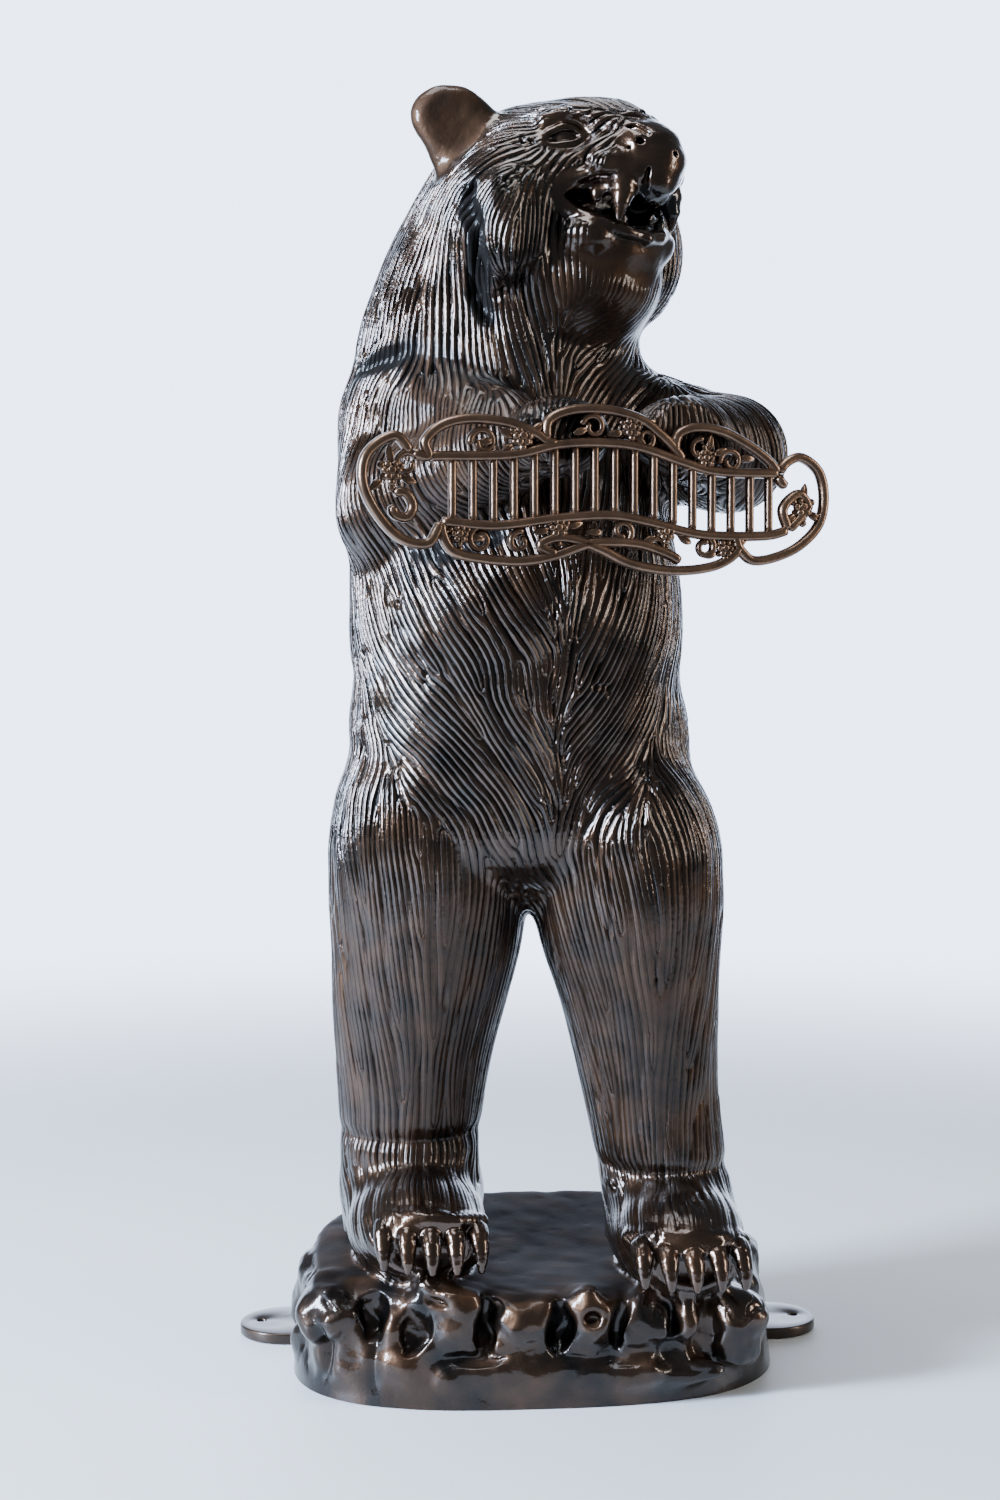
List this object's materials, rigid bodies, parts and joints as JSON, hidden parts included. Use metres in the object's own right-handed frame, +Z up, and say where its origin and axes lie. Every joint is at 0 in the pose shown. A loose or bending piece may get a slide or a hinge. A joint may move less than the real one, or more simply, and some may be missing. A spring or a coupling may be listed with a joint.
{
  "type": "bear statue",
  "caption": "Standing cast-metal bear on a rock base, holding an openwork plaque with plain upright bars in its forepaws; half-round fixing plates at the base.",
  "frame": {"origin": "on the flat underside of the rock, midway between the two fixing plates", "axes": "+Z up; the bear stands facing -Y, with +X to the bear's left"},
  "size_m": [0.435, 0.3686, 0.8991],
  "materials": {
    "dark_bronze": "cast aluminium in a near-black bronze finish, copper brown on the ridges, under glossy clear lacquer",
    "copper_brown": "cast aluminium in a copper-brown bronze finish, satin"
  },
  "bodies": {
    "root": {"bear": "dark_bronze", "sign": "copper_brown", "lug_left": "dark_bronze", "lug_right": "dark_bronze"}
  },
  "joints": []
}
